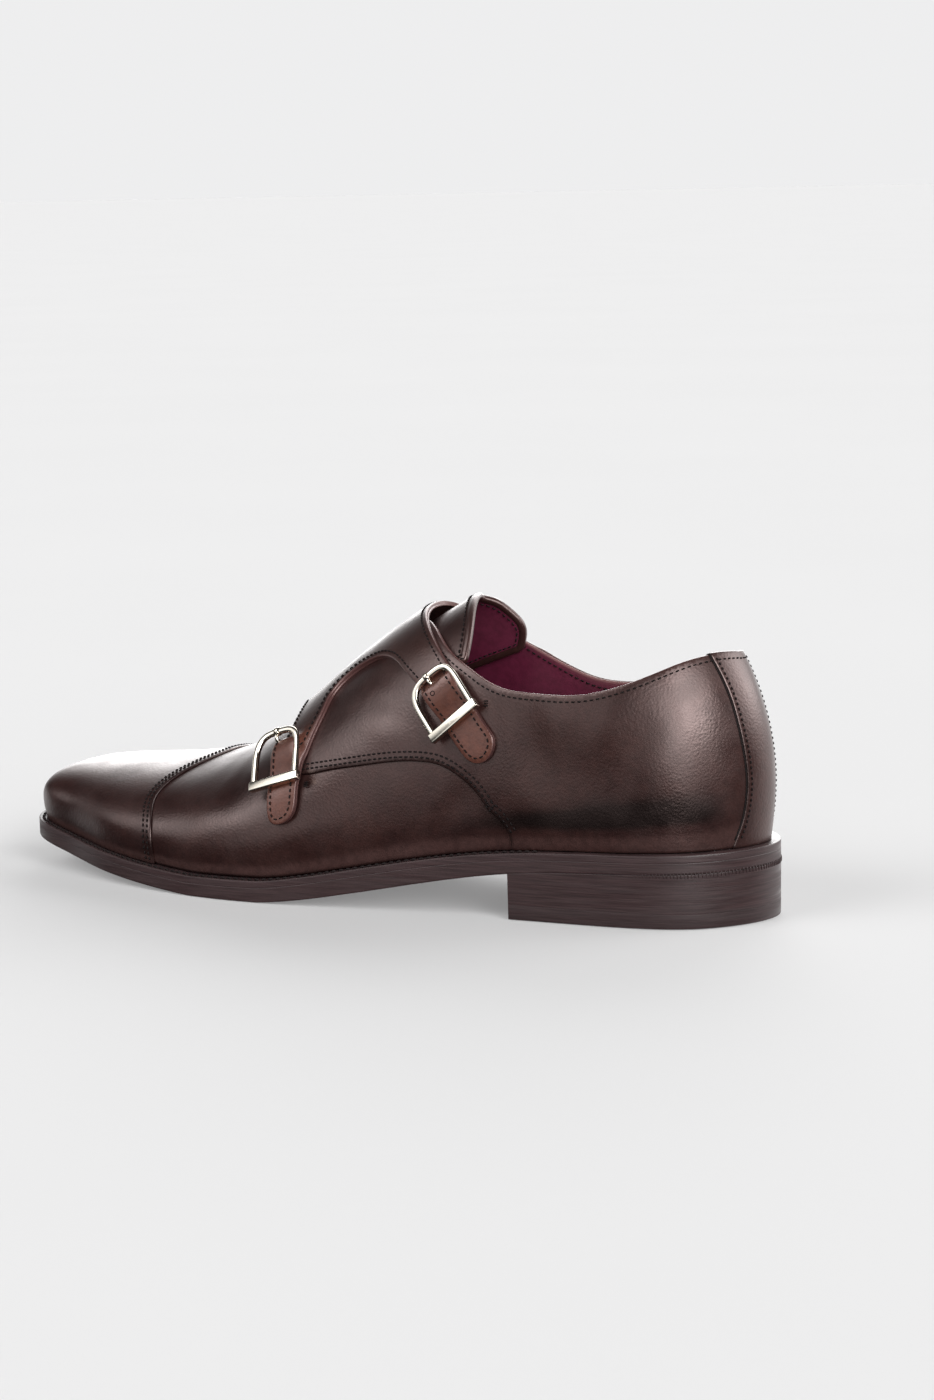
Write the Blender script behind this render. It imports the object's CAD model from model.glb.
import math

import bmesh
import bpy
import numpy as np
from mathutils import Matrix, Vector
from mathutils.geometry import delaunay_2d_cdt
from mathutils.kdtree import KDTree


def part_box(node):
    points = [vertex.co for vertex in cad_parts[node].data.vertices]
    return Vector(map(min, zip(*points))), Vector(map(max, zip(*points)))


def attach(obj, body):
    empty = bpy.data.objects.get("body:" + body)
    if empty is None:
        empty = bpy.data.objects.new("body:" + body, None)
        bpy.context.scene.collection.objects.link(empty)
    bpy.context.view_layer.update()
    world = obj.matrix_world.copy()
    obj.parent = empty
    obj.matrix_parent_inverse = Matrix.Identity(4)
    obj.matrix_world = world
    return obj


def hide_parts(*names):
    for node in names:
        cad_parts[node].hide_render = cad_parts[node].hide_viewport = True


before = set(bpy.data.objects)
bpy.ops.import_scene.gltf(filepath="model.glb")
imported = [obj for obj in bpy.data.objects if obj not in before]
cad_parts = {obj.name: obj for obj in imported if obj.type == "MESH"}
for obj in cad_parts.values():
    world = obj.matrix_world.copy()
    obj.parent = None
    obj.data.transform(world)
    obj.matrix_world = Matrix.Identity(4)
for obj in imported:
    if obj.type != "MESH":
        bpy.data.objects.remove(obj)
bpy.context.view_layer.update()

# All sizes are millimetres in the shoe's own frame: x from the heel's back to the toe,
# y to the outer side, z up from the floor. to_row() turns them into the row frame.

# ---------- driving dimensions, as in the part's source ----------
WALL = 2.0
GAP = 0.3
WELT_THICKNESS = 2.6
WELT_WIDTH = 10
INSOLE_THICKNESS = 2.4
TOP_LIFT = 5.2
HEEL_LENGTH = 82
BREAST_SAG = 3
TOE = 320
LOOP = 640
BULGE_AT = 0.18
THROAT_END = 184
TONGUE_DEPTH = 3.1
TONGUE_THICKNESS = 2.0
VAMP_FACE = -0.8  # the vamp lies this far under the form, so that the panels end on it
VAMP_BACK = -1.38
PANEL_FACE = 0.1  # outer face of the panels sewn on the vamp
PANEL_BACK = VAMP_FACE + 0.02
STRAP = 2.0  # folded and doubled leather of the straps

# Sole edge from below: station, x, outer y, inner y.
EDGE = np.array([
    (0, 0, 0, 0), (14, 4.2, 14.2, -12.2), (28, 14.8, 27, -23.8), (44, 29.6, 34.3, -31),
    (70, 57, 38.6, -32.5), (105, 92, 42, -29), (140, 131, 48.2, -31), (175, 164, 51.4, -41),
    (205, 192, 53.3, -49.5), (233, 222, 50.3, -51.2), (262, 251, 43.2, -48.5), (285, 273, 34.2, -42),
    (301, 289.8, 25.8, -29.5), (312, 295, 12, -17.5), (320, 296.4, -3, -3),
])
# Sole from the side: x, height of its underside, thickness of its edge.
SIDE = np.array([
    (0, 19.2, 6.6), (40, 18.3, 6.6), (79, 16.2, 7.2), (114, 10.8, 8.3), (146, 4.5, 8.4), (170, 0.6, 7.9),
    (190, -0.5, 7.5), (212, 0.4, 7.2), (244, 3.5, 7.0), (275, 8.0, 6.7), (296, 12.2, 6.5),
])
# Upper's wall: station, inset outer, inset inner, bulge, its height, fullness outer, fullness inner.
BODY = np.array([
    (0, 3.9, 3.9, 1.7, 21, 1.88, 1.88), (28, 3.9, 3.9, 1.7, 21, 1.9, 1.9),
    (44, 3.1, 3.1, 1.8, 20, 2.02, 2.02),
    (70, 2.6, 2.8, 1.8, 17, 2.3, 2.3), (105, 3.2, 3.6, 1.5, 15, 2.2, 2.2), (140, 3.6, 4.0, 1.5, 13, 2.0, 2.1),
    (175, 3.6, 4.0, 1.7, 11, 1.9, 2.1), (205, 3.6, 3.8, 1.8, 10, 1.9, 2.1), (233, 3.6, 3.6, 1.8, 9, 2.0, 2.1),
    (262, 3.4, 3.4, 1.7, 8, 2.2, 2.2), (285, 3.3, 3.3, 1.5, 8, 2.4, 2.4), (301, 3.2, 3.2, 1.3, 8, 2.5, 2.5),
    (320, 3.2, 3.2, 1.2, 8, 2.5, 2.5),
])
# Top centre line: station, x, y, z.
RIDGE = np.array([
    (0, 64, 0, 126), (14, 64.6, 0, 126), (28, 66, 0, 126), (44, 69, 0, 126), (70, 78, 0, 124),
    (105, 101, -3, 116), (140, 132, -6, 100), (175, 166, -8, 76.8), (205, 197, -9, 53.8),
    (233, 225, -8.5, 42.6), (262, 252, -7.5, 38.6), (285, 267, -6, 37.2), (301, 275, -5, 36.3),
    (312, 278, -4.2, 35.9), (320, 279, -3.8, 35.7),
])
# Collar and throat: station, girth share outer, girth share inner.
COLLAR = np.array([
    (0, 0.494, 0.494), (16, 0.5, 0.484), (41, 0.454, 0.424), (68, 0.391, 0.364), (85, 0.403, 0.37),
    (95, 0.425, 0.398), (103, 0.461, 0.443), (111, 0.522, 0.505), (121, 0.622, 0.61), (132, 0.777, 0.76),
    (150, 0.88, 0.87), (170, 0.91, 0.91), (184, 1, 1),
])
# Tongue: girth share w (0 outer feather line, 1 top centre, 2 inner feather line), top end, fixed end.
TONGUE = np.array([
    (0.56, 114.5, 178), (0.62, 114.7, 184), (0.7, 115.8, 188), (0.8, 118.2, 190),
    (0.9, 121, 191), (1.0, 123.8, 191), (1.1, 124.3, 191), (1.2, 120.8, 190),
    (1.3, 117.1, 188), (1.4, 114.6, 184), (1.46, 117, 178),
])

# ---------- panel edges, as stations and girth shares ----------
SEAM = np.array([
    (94.4, 0.0), (95.0, 0.061), (99.2, 0.137), (103.5, 0.186), (107.6, 0.221), (113.1, 0.26),
    (118.6, 0.291), (125.4, 0.314), (134.7, 0.336), (146.6, 0.359), (160.3, 0.388), (173.3, 0.421),
])
SEAM_UNDER_STRAP = np.array([
    (179.5, 0.462), (182.3, 0.53), (183, 0.62), (183.2, 0.75), (181.5, 0.87), (174, 0.912),
])
INNER_SEAM_END = np.array([(184, 1.535), (191, 1.488), (195, 1.44)])
FLAP_FRONT = np.array([
    (196.6, 1.4), (199, 1.3), (200, 1.15), (197.5, 1.0), (195, 0.93), (187.8, 0.8), (186, 0.74),
])
FLAP_REAR = np.array([
    (130.5, 0.74), (133.8, 0.8), (138.6, 0.93), (139.8, 1.0), (137, 1.15), (130, 1.3), (121, 1.4),
    (116.2, 1.455),
])
ARCH = np.array([(169.2, 0.68), (167, 0.72), (162, 0.737), (156, 0.73), (149.5, 0.71), (144.1, 0.68)])
# Straps: girth share, back edge, front edge, tip first.
REAR_STRAP = np.array([
    (0.272, 102.6, 105.6), (0.283, 100.6, 108.2), (0.305, 99.4, 110.6), (0.35, 102.3, 114.4),
    (0.39, 105.7, 117.3), (0.45, 110.3, 122), (0.52, 115.6, 127.6), (0.58, 120, 133.4), (0.63, 123.5, 138),
])
FRONT_STRAP = np.array([
    (0.269, 176.2, 180), (0.281, 173.7, 182.4), (0.31, 172.3, 184), (0.36, 172.4, 185), (0.42, 172.2, 185.6),
    (0.48, 171.2, 185.6), (0.54, 170.2, 185.2), (0.6, 169.2, 184.7), (0.65, 169.1, 184.6),
])
# Toe cap seam: girth share, station.
CAP = np.array([
    (0, 235.5), (0.25, 235.8), (0.38, 237.4), (0.5, 239.6), (0.6, 239.6), (0.7, 238), (0.8, 235), (0.9, 232),
    (1.0, 230.6), (1.1, 231.5), (1.3, 234.5), (1.6, 236.5), (2.0, 235.5),
])
# Back strip: girth share, half width in stations.
BACK_STRIP = np.array([
    (0, 17.2), (0.04, 15.6), (0.08, 14.2), (0.12, 13.4), (0.165, 12.9), (0.21, 12.8), (0.275, 13.2),
    (0.338, 13.7), (0.388, 14.1), (0.446, 15.2), (0.5, 16.6),
])
STRIP_TOP = 0.494  # girth share at which the back strip folds over the collar
STRIP_THICKNESS = 0.6
HIDDEN_HEEL = 9  # station at which the quarters end under the back strip
SHARE_SCALE = 110.0  # about the millimetres in one girth share, so that stations and shares compare
NEAR_FEATHER = 0.004  # share kept clear of the feather line, where the form's slope can be taken
CUT_ROUND = 0.35  # rounding of a cut leather edge
CROWN_REACH = 2.2  # how far in from its edge a panel swells
CREASE_REACH = 0.9  # and how far the dark of its dyed edge fades
PALE_REACH = 0.35  # and the pale of its cut edge
SPLIT_GROOVE = 0.16  # depth and half width of the line between a strap's two layers
EDGE_SPACING = 0.7  # between points along a panel's edge
WELD = 0.004  # points closer than this become one

# Flex folds and soft hollows: two ends (station, share), depth and half width in millimetres.
FOLDS = [
    ((207, 0.40), (203, 0.80), 0.13, 3.6), ((214, 0.46), (212, 0.95), 0.12, 3.2),
    ((222, 0.34), (219, 0.66), 0.10, 3.6), ((205, 1.62), (203, 1.22), 0.28, 3.2),
    ((214, 1.6), (211, 1.1), 0.22, 3.0), ((198, 0.20), (226, 0.24), 0.30, 6.0),
    ((128, 0.42), (150, 0.55), 0.25, 4.0), ((133, 0.50), (146, 0.62), 0.18, 2.6),
    ((60, 0.20), (96, 0.30), 0.55, 9.0), ((44, 0.36), (60, 0.22), 0.30, 6.0),
    ((84, 0.22), (88, 0.38), 0.25, 4.5), ((150, 0.10), (190, 0.12), 0.25, 5.0),
    ((120, 0.12), (108, 0.24), 0.22, 4.0), ((60, 1.80), (96, 1.70), 0.50, 9.0),
    ((130, 1.55), (150, 1.42), 0.22, 3.5), ((150, 1.88), (190, 1.88), 0.25, 5.0),
]


# ---------- smooth curves ----------
def spline(t, y, period=0.0):
    """Cubic curve through (t, y); with a period it closes on itself."""
    t, y, n = np.asarray(t, float), np.asarray(y, float), len(t)
    step = np.append(np.diff(t), t[0] + period - t[-1] if period else 1.0)
    matrix, right = np.zeros((n, n)), np.zeros(n)
    for i in range(n):
        if not period and i in (0, n - 1):
            matrix[i, i] = 1
            continue
        before, after = (i - 1) % n, (i + 1) % n
        matrix[i, before] += step[before]
        matrix[i, i] += 2 * (step[before] + step[i])
        matrix[i, after] += step[i]
        right[i] = 6 * ((y[after] - y[i]) / step[i] - (y[i] - y[before]) / step[before])
    bend = np.linalg.solve(matrix, right)

    def at(q):
        q = np.asarray(q, float)
        q = (q - t[0]) % period + t[0] if period else np.clip(q, t[0], t[-1])
        i = np.clip(np.searchsorted(t, q, side="right") - 1, 0, n - 1 if period else n - 2)
        j, h, b = (i + 1) % n, step[i], q - t[i]
        a = h - b
        curve = (bend[i] * a**3 + bend[j] * b**3) / (6 * h)
        return curve + (y[i] / h - bend[i] * h / 6) * a + (y[j] / h - bend[j] * h / 6) * b

    return at


def around(table, lateral, medial):
    """A value that runs round the shoe: outer side out, inner side back."""
    inner = table[1:-1][::-1]
    stations = np.append(table[:, 0], LOOP - inner[:, 0])
    return spline(stations, np.append(table[:, lateral], inner[:, medial]), LOOP)


edge_x, edge_y = around(EDGE, 1, 1), around(EDGE, 2, 3)
underside, edge_height = spline(SIDE[:, 0], SIDE[:, 1]), spline(SIDE[:, 0], SIDE[:, 2])
inset_at, bulge_at, rise_at = around(BODY, 1, 2), around(BODY, 3, 3), around(BODY, 4, 4)
fullness_at = around(BODY, 5, 6)
ridge_x, ridge_y, ridge_z = (spline(RIDGE[:, 0], RIDGE[:, k]) for k in (1, 2, 3))
collar_outer, collar_inner = spline(COLLAR[:, 0], COLLAR[:, 1]), spline(COLLAR[:, 0], COLLAR[:, 2])
strip_half = spline(BACK_STRIP[:, 0], BACK_STRIP[:, 1])


def smooth(low, high, x):
    t = np.clip((np.asarray(x, float) - low) / (high - low), 0, 1)
    return t * t * (3 - 2 * t)


def sole_under(x):
    return np.maximum(0, underside(x))


def sole_top(x):
    return sole_under(x) + edge_height(x)


def edge_point(c, margin=0.0):
    """Sole edge at station c, moved inward."""
    e = 0.25
    tx, ty = edge_x(c + e) - edge_x(c - e), edge_y(c + e) - edge_y(c - e)
    length = np.hypot(tx, ty)
    return edge_x(c) + ty / length * margin, edge_y(c) - tx / length * margin


def last_point(c, w):
    """Outer face of the upper at station c and girth share w, counted on over the top centre."""
    c, w = np.broadcast_arrays(np.asarray(c, float), np.asarray(w, float))
    c, v = np.where(w > 1, LOOP - c, c), np.where(w > 1, 2 - w, w)
    foot_x, foot_y = edge_point(c, inset_at(c))
    base = sole_top(foot_x) + GAP
    cc = np.mod(c, LOOP)
    cc = np.where(cc > TOE, LOOP - cc, cc)
    dx, dy = ridge_x(cc) - foot_x, ridge_y(cc) - foot_y
    reach, height = np.hypot(dx, dy), ridge_z(cc) - base
    power, bulge, rise = 2 / fullness_at(c), bulge_at(c), rise_at(c)
    low = np.clip(v / BULGE_AT, 0, 1)
    angle = np.clip((v - BULGE_AT) / (1 - BULGE_AT), 0, 1) * np.pi / 2
    turn = 1 - np.maximum(np.cos(angle), 0) ** power
    inward = np.where(v < BULGE_AT, -bulge * np.sin(low * np.pi / 2), -bulge + (reach + bulge) * turn)
    up = np.where(v < BULGE_AT, rise * v / BULGE_AT, rise + (height - rise) * np.sin(angle) ** power)
    return np.stack([foot_x + dx / reach * inward, foot_y + dy / reach * inward, base + up], -1)


def unit(vectors):
    return vectors / np.maximum(np.linalg.norm(vectors, axis=-1, keepdims=True), 1e-12)


def slopes(c, w):
    """How the surface moves with station and with girth share."""
    e, d = 0.5, 0.004
    by_station = (last_point(c + e, w) - last_point(c - e, w)) / (2 * e)
    by_share = (last_point(c, w + d) - last_point(c, w - d)) / (2 * d)
    return by_station, by_share


def off_feather(w):
    return np.clip(w, NEAR_FEATHER, 2 - NEAR_FEATHER)


def normal_at(c, w):
    by_station, by_share = slopes(c, off_feather(w))
    return unit(np.cross(by_share, by_station))


def fold_relief(points):
    """Height of the soft folds at points on the upper."""
    out = np.zeros(points.shape[:-1])
    for (c0, w0), (c1, w1), depth, width in FOLDS:
        t = np.linspace(0, 1, 14)
        line = last_point(c0 + (c1 - c0) * t, w0 + (w1 - w0) * t)
        gap = np.linalg.norm(points[..., None, :] - line, axis=-1)
        r = gap.min(-1) / width
        fade = np.sin(np.pi * (0.12 + 0.76 * t))[gap.argmin(-1)]
        out += depth * fade * (0.45 * np.exp(-((r - 1.9) ** 2) / 0.5) - np.exp(-(r**2)))
    return out


def on_upper(c, w, d):
    """Points d above the upper's face, with its folds."""
    c, w, d = np.broadcast_arrays(np.asarray(c, float), np.asarray(w, float), np.asarray(d, float))
    base = last_point(c, w)
    return base + normal_at(c, w) * (d + fold_relief(base))[..., None]


# ---------- the row frame ----------
OUTSOLE_LOW = np.array(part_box("outsole")[0]) * 1000
EDGE_STATIONS = np.linspace(0, LOOP, 1281)
SHIFT = np.array([-OUTSOLE_LOW[0], edge_y(EDGE_STATIONS).min() - OUTSOLE_LOW[1], 0.0])


def to_row(points):
    return (np.asarray(points) - SHIFT) / 1000


# ---------- mesh making ----------
class Mesh:
    """Collects points, faces and per-point tones, then becomes one closed object."""

    def __init__(self):
        self.points, self.faces, self.tones, self.count = [], [], {}, 0

    def add(self, points, **tones):
        """Adds an array of points and returns their numbers in the same layout."""
        points = np.asarray(points, float)
        shape = points.shape[:-1]
        flat = points.reshape(-1, 3)
        self.points.append(flat)
        for name in set(self.tones) | set(tones):
            kept = self.tones.setdefault(name, [np.zeros(self.count)])
            kept.append(np.broadcast_to(tones.get(name, 0.0), shape).reshape(-1).astype(float))
        ids = np.arange(self.count, self.count + len(flat)).reshape(shape)
        self.count += len(flat)
        return ids

    def grid(self, ids, wrap_rows=False, wrap_cols=False):
        ids = np.vstack([ids, ids[:1]]) if wrap_rows else ids
        ids = np.hstack([ids, ids[:, :1]]) if wrap_cols else ids
        quads = np.stack([ids[:-1, :-1], ids[1:, :-1], ids[1:, 1:], ids[:-1, 1:]], -1)
        self.faces.extend(quads.reshape(-1, 4).tolist())

    def hoop(self, rows):
        """A closed ring of closed rings of points."""
        self.grid(self.add(rows), wrap_rows=True, wrap_cols=True)

    def tube(self, rows, **tones):
        """A tube through closed rings of points, capped at both ends."""
        ids = self.add(rows, **tones)
        self.grid(ids, wrap_cols=True)
        self.faces += [ids[0].tolist(), ids[-1][::-1].tolist()]

    def sheet(self, front, back, last_side=True):
        """Front and back of a leather piece, joined along its sides."""
        self.grid(front)
        self.grid(back[:, ::-1])
        sides = [np.s_[:, 0], np.s_[:, -1], np.s_[0], np.s_[-1]]
        for side in sides if last_side else sides[:1] + sides[2:]:
            self.grid(np.stack([front[side], back[side]], 1))

    def build(self, name, look, nodes=(), sharp=None):
        """Welds the points into one object; look is its material and material slot."""
        material, slot = look
        points = np.concatenate(self.points)
        key = np.round(points / WELD).astype(np.int64)
        _, first, back = np.unique(key, axis=0, return_index=True, return_inverse=True)
        back = back.reshape(-1)
        faces = []
        for face in self.faces:
            corners = list(dict.fromkeys(int(back[i]) for i in face))
            if len(corners) > 2:
                faces.append(corners)
        data = bpy.data.meshes.new(name)
        data.from_pydata(to_row(points[first]).tolist(), [], faces)
        for tone, parts in self.tones.items():
            layer = data.attributes.new(tone, "FLOAT", "POINT")
            layer.data.foreach_set("value", np.concatenate(parts)[first].astype(np.float32))
        work = bmesh.new()
        work.from_mesh(data)
        loose = [v for v in work.verts if not v.link_faces]
        bmesh.ops.delete(work, geom=loose, context="VERTS")
        bmesh.ops.recalc_face_normals(work, faces=work.faces)
        work.to_mesh(data)
        work.free()
        data.materials.append(material)
        data.shade_smooth()
        if sharp:
            data.set_sharp_from_angle(angle=math.radians(sharp))
        made = bpy.data.objects.new(name, data)
        bpy.context.scene.collection.objects.link(made)
        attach(made, "root")
        if nodes:
            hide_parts(*nodes)


# ---------- lines on the upper ----------
def run_along(points):
    """Length along a line up to each of its points."""
    return np.append(0, np.cumsum(np.linalg.norm(np.diff(points, axis=0), axis=1)))


def sampled(t, run, values):
    """Values at the lengths t along a line."""
    return np.stack([np.interp(t, run, column) for column in values.T], -1)


def polyline(points, step=0.35):
    """Evenly spaced (station, share) points along a smooth curve."""
    flat = np.asarray(points, float) * (1, SHARE_SCALE)
    run = run_along(flat)
    t = np.linspace(0, run[-1], max(3, int(run[-1] / step)))
    return np.stack([spline(run, column)(t) for column in flat.T], -1) / (1, SHARE_SCALE)


def turns(sides):
    """Angles evenly round a circle."""
    return np.arange(sides) / sides * 2 * np.pi


def blurred(points, spacing, reach, width, closed):
    """Points averaged with the ones up to reach places away, so that corners soften."""
    index, offsets = np.arange(len(points)), np.arange(-reach, reach + 1)
    weights = np.exp(-((offsets * spacing / width) ** 2))
    total = 0
    for k, weight in zip(offsets, weights):
        near = np.mod(index + k, len(points)) if closed else np.clip(index + k, 0, len(points) - 1)
        total = total + points[near] * weight
    return total / weights.sum()


def closed_ring(curve, spacing):
    """Closed loop at an even spacing on the surface, its corners softened."""
    ring = np.vstack([curve, curve[:1]])
    run = run_along(last_point(*ring.T))
    keep = np.append(True, np.diff(run) > 1e-6)
    run, fine = run[keep], 0.25
    t = np.arange(0, run[-1], fine)
    soft = blurred(sampled(t, run, ring[keep]), fine, 12, 1.2, closed=True)
    pick = np.linspace(0, len(t), int(run[-1] / spacing), endpoint=False)
    return sampled(pick, np.arange(len(t) + 1), np.vstack([soft, soft[:1]]))


def open_line(curve, spacing):
    """An open line at an even spacing on the surface, its corners softened."""
    run, fine = run_along(last_point(*curve.T)), 0.3
    soft = blurred(sampled(np.arange(0, run[-1], fine), run, curve), fine, 10, 1.5, closed=False)
    return soft[:: max(1, int(spacing / fine))]


def shifted(curve, distance, closed=False):
    """The curve moved to its left by a distance on the surface, in millimetres, a short step at a time."""
    steps = max(1, math.ceil(abs(distance) / 0.4))
    for _ in range(steps):
        curve = stepped(curve, distance / steps, closed)
    return curve


def stepped(curve, distance, closed):
    if closed:
        ahead = np.roll(curve, -1, axis=0) - np.roll(curve, 1, axis=0)
    else:
        ahead = np.gradient(curve, axis=0)
    by_station, by_share = slopes(curve[:, 0], off_feather(curve[:, 1]))
    along = unit(by_station * ahead[:, :1] + by_share * ahead[:, 1:])
    left = np.cross(unit(np.cross(by_share, by_station)), along) * -1
    aa, bb = (by_station * by_station).sum(1), (by_share * by_share).sum(1)
    ab = (by_station * by_share).sum(1)
    la, lb = (left * by_station).sum(1), (left * by_share).sum(1)
    det = aa * bb - ab * ab
    move = np.stack([(la * bb - lb * ab) / det, (lb * aa - la * ab) / det], -1)
    return curve + move * distance


# ---------- leather panels ----------
def area(ring):
    """Signed area of a closed ring, to tell which way it runs."""
    x, y = ring[:, 0], ring[:, 1] * SHARE_SCALE
    return 0.5 * np.sum(x * np.roll(y, -1) - y * np.roll(x, -1))


def inside(ring, points):
    """Which points lie inside a closed ring."""
    x, y = points[:, 0], points[:, 1]
    hit = np.zeros(len(points), bool)
    for (x0, y0), (x1, y1) in zip(ring, np.roll(ring, -1, axis=0)):
        crosses = (y0 > y) != (y1 > y)
        if y0 != y1:
            hit ^= crosses & (x < (x1 - x0) * (y - y0) / (y1 - y0) + x0)
    return hit


def nearest(ring, points, skip=None):
    """Distance to the ring and the number of its nearest point."""
    tree = KDTree(len(ring))
    for i, p in enumerate(ring):
        if skip is None or not skip[i]:
            tree.insert(p, i)
    tree.balance()
    found = [tree.find(p) for p in points]
    return np.array([f[2] for f in found]), np.array([f[1] for f in found])


def burnish(c, w):
    """How dark the leather is rubbed at heel and toe; below zero where it is worn paler, by the welt."""
    v = np.minimum(w, 2 - w)
    from_heel = np.minimum(c, LOOP - c)
    quarter = smooth(14, 34, from_heel) * (1 - smooth(70, 130, from_heel))
    band = np.exp(-((v - 0.12) / 0.06) ** 2) * (0.1 + 1.1 * quarter)
    toe = smooth(272, 312, from_heel) * np.exp(-((v - 0.3) / 0.25) ** 2)
    seam = 0.5 * np.exp(-v / 0.008)
    worn = 0.9 * np.exp(-((v - 0.04) / 0.04) ** 2) * (1 - smooth(290, 315, from_heel))
    return np.clip(band + 0.5 * toe + seam - worn, -1, 1)


def no_tone(c, _):
    return np.zeros(len(c))


def hidden_edge(c, w):
    """Where a panel's edge is out of sight, under the welt or the back strip."""
    return (np.minimum(w, 2 - w) < 0.03) | (c < HIDDEN_HEEL + 0.5)


def cut_panel(name, look, curve, low, high, pale, crown, nodes=(), split=False, tab=no_tone):
    """A leather panel of any outline: low(c, w) to high(c, w) above the upper, with rounded cut edges.

    pale: how pale the cut edge is; crown: swell inside the edge; tab: where a strap is browner.
    """
    ring = closed_ring(curve, EDGE_SPACING)
    if area(ring) < 0:
        ring = ring[::-1]
    outer, shoulder, core = (shifted(ring, CUT_ROUND * k, closed=True) for k in (0, 0.3, 1))
    flat = core * (1, SHARE_SCALE)
    grid = []
    for spacing, near, far in ((0.75, 0.55, 3.2), (1.7, 3.2, 1e9)):  # finer points near the edge
        xs = np.arange(flat[:, 0].min(), flat[:, 0].max(), spacing)
        ys = np.arange(flat[:, 1].min(), flat[:, 1].max(), spacing)
        x, y = np.meshgrid(xs, ys)
        x = x + (np.arange(len(ys)) % 2)[:, None] * spacing / 2
        p = np.stack([x.ravel(), y.ravel()], -1)
        p = p[inside(flat, p)]
        away, _ = nearest(np.column_stack([flat, 0 * flat[:, 0]]), np.column_stack([p, 0 * p[:, 0]]))
        grid.append(p[(away > near) & (away < far)])
    cloud = np.vstack([flat, *grid])
    n = len(flat)
    border = [(i, (i + 1) % n) for i in range(n)]
    verts, _, faces, origin, _, _ = delaunay_2d_cdt([Vector(p) for p in cloud], border, [], 1, 1e-6)
    lead = np.array([o[0] if o else -1 for o in origin])
    if len(verts) != len(cloud) or not np.array_equal(lead, np.arange(len(cloud))):
        raise RuntimeError(f"{name}: its edge crosses itself")
    c, w = cloud[:, 0], cloud[:, 1] / SHARE_SCALE
    mesh = Mesh()
    hidden = hidden_edge(*ring.T)
    away, closest = nearest(last_point(*ring.T), last_point(c, w), hidden)
    swell = crown * (1 - np.exp(-away / CROWN_REACH))
    shade, tabs, cut = burnish(c, w), tab(c, w), pale(*ring.T)
    face = mesh.add(
        on_upper(c, w, high(c, w) + swell), burnish=shade, tab=tabs,
        dark=np.exp(-away / CREASE_REACH) * (1 - cut[closest]),
        edge=0.5 * np.exp(-away / PALE_REACH) * cut[closest],
    )
    back = mesh.add(on_upper(c, w, low(c, w)), burnish=shade, tab=tabs)
    mesh.faces.extend([[int(face[i]) for i in f] for f in faces])
    mesh.faces.extend([[int(back[i]) for i in f][::-1] for f in faces])
    raw = cut * np.where(hidden, 0.0, 1.0)
    lo, hi = low(*ring.T), high(*ring.T)
    levels = [(outer, lo), (outer, hi - CUT_ROUND), (shoulder, hi - 0.3 * CUT_ROUND)]
    if split:
        middle = (lo + hi - CUT_ROUND) / 2
        groove = shifted(ring, SPLIT_GROOVE, closed=True)
        levels[1:1] = [(outer, middle - SPLIT_GROOVE), (groove, middle), (outer, middle + SPLIT_GROOVE)]
    rows = [back[:n]]
    for line, d in levels:
        points = on_upper(*line.T, d)
        rows.append(mesh.add(points, edge=raw, burnish=shade[:n], tab=tabs[:n], dark=1 - raw))
    rows.append(face[:n])
    mesh.grid(np.stack(rows), wrap_cols=True)
    mesh.build(name, look, nodes)


# ---------- stitches ----------
def stitch_template(length, radius):
    """Rings of one thread stitch that dips into the leather at both ends."""
    t, angle = np.linspace(-1, 1, 7)[:, None], turns(6)
    size = radius * np.sqrt(np.maximum(1 - np.abs(t) ** 4, 0.02))
    rise = radius * 1.1 * (1 - 2.2 * t**4)
    return np.stack([t * length / 2 + 0 * angle, size * np.cos(angle), size * np.sin(angle) + rise], -1)


def lay_stitches(mesh, path, up, pitch=2.2, length=1.7, radius=0.27):
    """Stitches along a line of points with their outward directions."""
    run = run_along(path)
    n = max(1, int(run[-1] / pitch))
    at = (np.arange(n) + 0.5) * run[-1] / n
    x = unit(sampled(at + 0.3, run, path) - sampled(at - 0.3, run, path))
    z = unit(sampled(at, run, up))
    y = np.cross(z, x)
    shape = stitch_template(length, radius)
    for k, place in enumerate(sampled(at, run, path)):
        mesh.tube(place + shape[..., :1] * x[k] + shape[..., 1:2] * y[k] + shape[..., 2:] * z[k])


def stitch_on_upper(mesh, curve, height, **how):
    """Stitches along a (station, share) line, height(c, w) above the upper's face."""
    c, w = curve.T
    d = height(c, w) if callable(height) else height
    lay_stitches(mesh, on_upper(c, w, d), normal_at(c, w), **how)


# ---------- materials ----------
def new_material(name, rough, metallic=0.0):
    made = bpy.data.materials.new(name)
    made.use_nodes = True
    tree = made.node_tree
    shader = tree.nodes["Principled BSDF"]
    shader.inputs["Roughness"].default_value = rough
    shader.inputs["Metallic"].default_value = metallic
    return made, tree, shader


def node(tree, kind, **values):
    made = tree.nodes.new(kind)
    for key, value in values.items():
        if key in made.inputs:
            made.inputs[key].default_value = value
        else:
            setattr(made, key, value)
    return made


def link(tree, source, target):
    tree.links.new(source, target)


def math_node(tree, operation, a, b=0.5):
    made = node(tree, "ShaderNodeMath", operation=operation)
    for socket, value in zip(made.inputs, (a, b)):
        if isinstance(value, (int, float)):
            socket.default_value = value
        else:
            link(tree, value, socket)
    return made.outputs[0]


def mixed(tree, factor, a, b):
    """Colour a to colour b; each is a colour or a socket."""
    made = node(tree, "ShaderNodeMix", data_type="RGBA")
    link(tree, factor, made.inputs[0])
    for socket, value in zip((made.inputs[6], made.inputs[7]), (a, b)):
        if isinstance(value, tuple):
            socket.default_value = (*value, 1)
        else:
            link(tree, value, socket)
    return made.outputs[2]


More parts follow.
